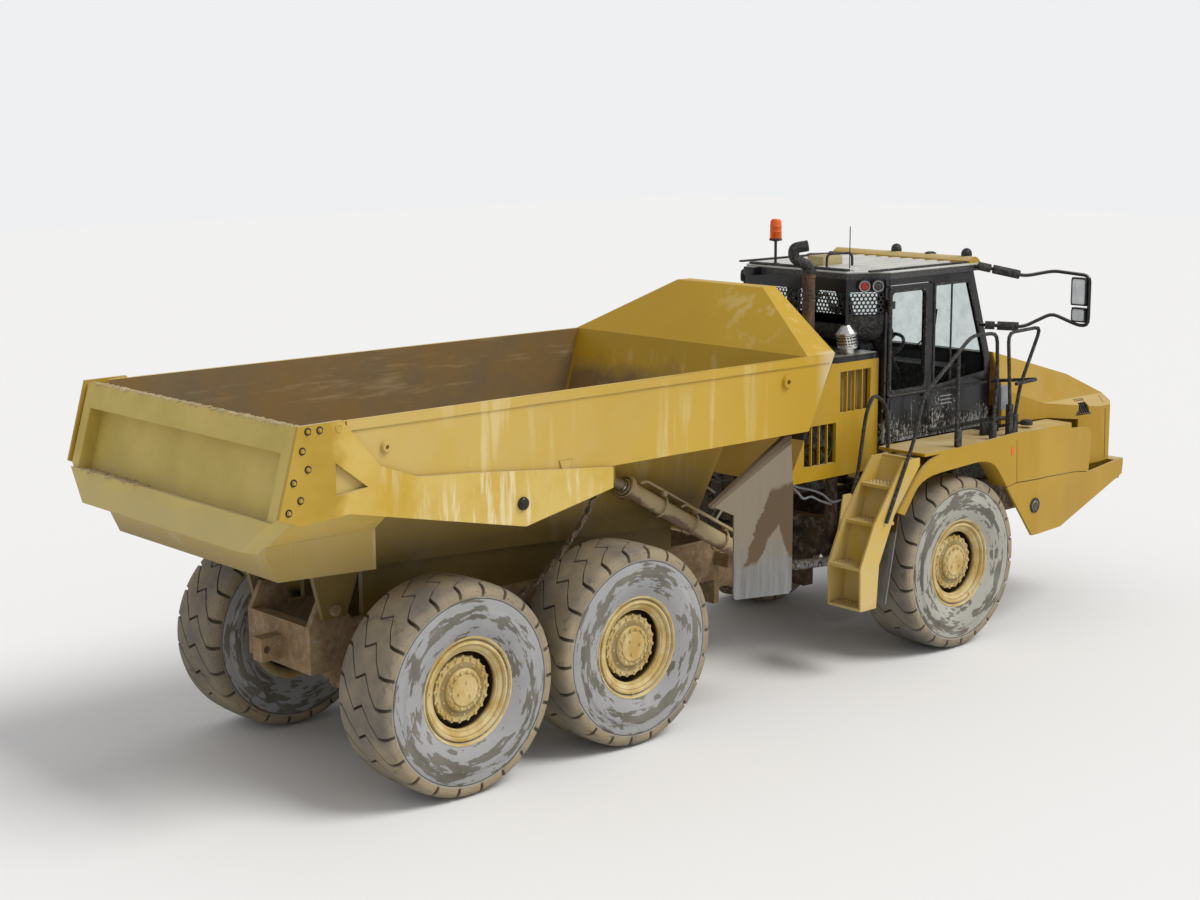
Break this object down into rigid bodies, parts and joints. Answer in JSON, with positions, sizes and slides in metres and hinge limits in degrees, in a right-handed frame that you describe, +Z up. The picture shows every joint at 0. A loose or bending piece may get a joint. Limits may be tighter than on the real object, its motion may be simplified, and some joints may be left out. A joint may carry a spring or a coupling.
{
  "type": "articulated dump truck",
  "caption": "Three-axle articulated dump truck with a tipping bed, opening tailgate, tilting hood and a cab with hinged doors.",
  "frame": {"origin": "on the ground, midway between the front of the bumper and the rear of the tailgate, on the centre plane", "axes": "+X forward, +Y to the driver's left, +Z up"},
  "size_m": [10.3, 3.554, 3.9046],
  "materials": {
    "paint": "ochre yellow machine paint, dusty and streaked",
    "paint_old": "yellow paint under dried pale mud",
    "black": "black paint with pale dried splashes",
    "mud": "steel under dried brown mud",
    "roof": "grey ribbed roof",
    "steel": "bright rod",
    "iron": "dark casting",
    "rust": "heat browned pipe",
    "glass": "clear pane",
    "trim": "dark grained plastic",
    "cloth": "dark seat cloth",
    "lens": "lamp lens",
    "orange": "orange beacon lens",
    "tyre": "worn rubber with pale dust",
    "rim": "yellow wheel paint, dusty",
    "flap": "grey flap under dust",
    "chain": "brown chain"
  },
  "bodies": {
    "tractor": {"front_frame": "mud", "front_axle": "mud", "bumper": "paint", "skirts": "paint", "engine": "iron", "fenders": "paint", "steps": "paint_old", "handrails": "black", "cab_shell": "black", "cab_roof": "roof", "roof_visor": "paint", "box_lid": "black", "wheel_flaps": "flap", "cab_glass": "glass", "seat": "cloth", "dash": "trim", "cooling_box": "paint", "rear_guard": "black", "exhaust": "rust", "beacon": "orange", "mirrors": "black", "lamps": "lens"},
    "hood": {"hood": "paint"},
    "door_right": {"door_right": "black"},
    "door_left": {"door_left": "black"},
    "hitch": {"hitch": "mud"},
    "rear_frame": {"rear_frame": "mud", "rear_crossmembers": "mud", "walking_beams": "mud", "rear_axles": "mud"},
    "bed": {"bed": "paint", "mud_flaps": "flap"},
    "tailgate": {"tailgate": "paint"},
    "hoist_barrels": {"hoist_barrels": "mud"},
    "hoist_tubes": {"hoist_tubes": "steel"},
    "hoist_rods": {"hoist_rods": "steel"},
    "chains": {"chains": "chain"},
    "steer_barrel_right": {"steer_barrel_right": "black"},
    "steer_rod_right": {"steer_rod_right": "steel"},
    "steer_barrel_left": {"steer_barrel_left": "black"},
    "steer_rod_left": {"steer_rod_left": "steel"},
    "wheel_front_right": {"tyre_front_right": "tyre", "rim_front_right": "rim"},
    "wheel_front_left": {"tyre_front_left": "tyre", "rim_front_left": "rim"},
    "wheel_mid_right": {"tyre_mid_right": "tyre", "rim_mid_right": "rim"},
    "wheel_mid_left": {"tyre_mid_left": "tyre", "rim_mid_left": "rim"},
    "wheel_rear_right": {"tyre_rear_right": "tyre", "rim_rear_right": "rim"},
    "wheel_rear_left": {"tyre_rear_left": "tyre", "rim_rear_left": "rim"}
  },
  "joints": [
    {"name": "steer", "type": "hinge", "parent": "tractor", "child": "hitch", "pos_m": [0.76, 0, 0.8], "axis": [0, 0, 1], "range_deg": [-45, 45]},
    {"name": "roll", "type": "hinge", "parent": "hitch", "child": "rear_frame", "pos_m": [0.36, 0, 0.82], "axis": [1, 0, 0], "range_deg": [-10, 10]},
    {"name": "dump", "type": "hinge", "parent": "rear_frame", "child": "bed", "pos_m": [-3.99, 0, 1.33], "axis": [0, -1, 0], "range_deg": [0, 70]},
    {"name": "tailgate_swing", "type": "hinge", "parent": "bed", "child": "tailgate", "pos_m": [-3.003, 0, 2.14], "axis": [0, 1, 0], "range_deg": [0, 64.78]},
    {"name": "hoist_swing", "type": "hinge", "parent": "rear_frame", "child": "hoist_barrels", "pos_m": [0.26, 0, 1.045], "axis": [0, -1, 0], "range_deg": [-6.5, 0.5]},
    {"name": "hoist_stage_one", "type": "slide", "parent": "hoist_barrels", "child": "hoist_tubes", "axis": [-0.8714, 0, 0.4905], "range_m": [0, 1.5]},
    {"name": "hoist_stage_two", "type": "slide", "parent": "hoist_tubes", "child": "hoist_rods", "axis": [-0.8714, 0, 0.4905], "range_m": [0, 1.5]},
    {"name": "chain_swing", "type": "hinge", "parent": "rear_frame", "child": "chains", "pos_m": [-3.29, 0, 1.22], "axis": [0, -1, 0], "range_deg": [0, 63]},
    {"name": "hood_tilt", "type": "hinge", "parent": "tractor", "child": "hood", "pos_m": [4.96, 0, 1.49], "axis": [0, 1, 0], "range_deg": [0, 60]},
    {"name": "door_right_swing", "type": "hinge", "parent": "tractor", "child": "door_right", "pos_m": [1.798, -0.872, 2.6], "axis": [0, 0, -1], "range_deg": [0, 55]},
    {"name": "door_left_swing", "type": "hinge", "parent": "tractor", "child": "door_left", "pos_m": [1.798, 0.872, 2.6], "axis": [0, 0, 1], "range_deg": [0, 55]},
    {"name": "steer_right_swing", "type": "hinge", "parent": "tractor", "child": "steer_barrel_right", "pos_m": [1.62, -0.57, 0.8], "axis": [0, 0, 1], "range_deg": [-5, 5]},
    {"name": "steer_right_stroke", "type": "slide", "parent": "steer_barrel_right", "child": "steer_rod_right", "axis": [-0.9567, 0.2912, 0], "range_m": [-0.22, 0.22]},
    {"name": "steer_left_swing", "type": "hinge", "parent": "tractor", "child": "steer_barrel_left", "pos_m": [1.62, 0.57, 0.8], "axis": [0, 0, 1], "range_deg": [-5, 5]},
    {"name": "steer_left_stroke", "type": "slide", "parent": "steer_barrel_left", "child": "steer_rod_left", "axis": [-0.9567, -0.2912, 0], "range_m": [-0.22, 0.22]},
    {"name": "wheel_front_right_roll", "type": "hinge", "parent": "tractor", "child": "wheel_front_right", "pos_m": [2.25, -1.14, 0.8], "axis": [0, 1, 0], "continuous": true},
    {"name": "wheel_front_left_roll", "type": "hinge", "parent": "tractor", "child": "wheel_front_left", "pos_m": [2.25, 1.14, 0.8], "axis": [0, 1, 0], "continuous": true},
    {"name": "wheel_mid_right_roll", "type": "hinge", "parent": "rear_frame", "child": "wheel_mid_right", "pos_m": [-1.79, -1.14, 0.8], "axis": [0, 1, 0], "continuous": true},
    {"name": "wheel_mid_left_roll", "type": "hinge", "parent": "rear_frame", "child": "wheel_mid_left", "pos_m": [-1.79, 1.14, 0.8], "axis": [0, 1, 0], "continuous": true},
    {"name": "wheel_rear_right_roll", "type": "hinge", "parent": "rear_frame", "child": "wheel_rear_right", "pos_m": [-3.46, -1.14, 0.8], "axis": [0, 1, 0], "continuous": true},
    {"name": "wheel_rear_left_roll", "type": "hinge", "parent": "rear_frame", "child": "wheel_rear_left", "pos_m": [-3.46, 1.14, 0.8], "axis": [0, 1, 0], "continuous": true}
  ],
  "couplings": [
    {"joint": "tailgate_swing", "follows": "dump", "ratio": 0.91829},
    {"joint": "hoist_swing", "follows": "dump", "ratio": -0.08523},
    {"joint": "hoist_stage_one", "follows": "dump", "m_per_rad": 1.195},
    {"joint": "hoist_stage_two", "follows": "dump", "m_per_rad": 1.2277},
    {"joint": "chain_swing", "follows": "dump", "ratio": 0.892},
    {"joint": "steer_right_swing", "follows": "steer", "ratio": -0.0514},
    {"joint": "steer_left_swing", "follows": "steer", "ratio": -0.0514},
    {"joint": "steer_right_stroke", "follows": "steer", "m_per_rad": -0.2621},
    {"joint": "steer_left_stroke", "follows": "steer", "m_per_rad": 0.2621}
  ]
}
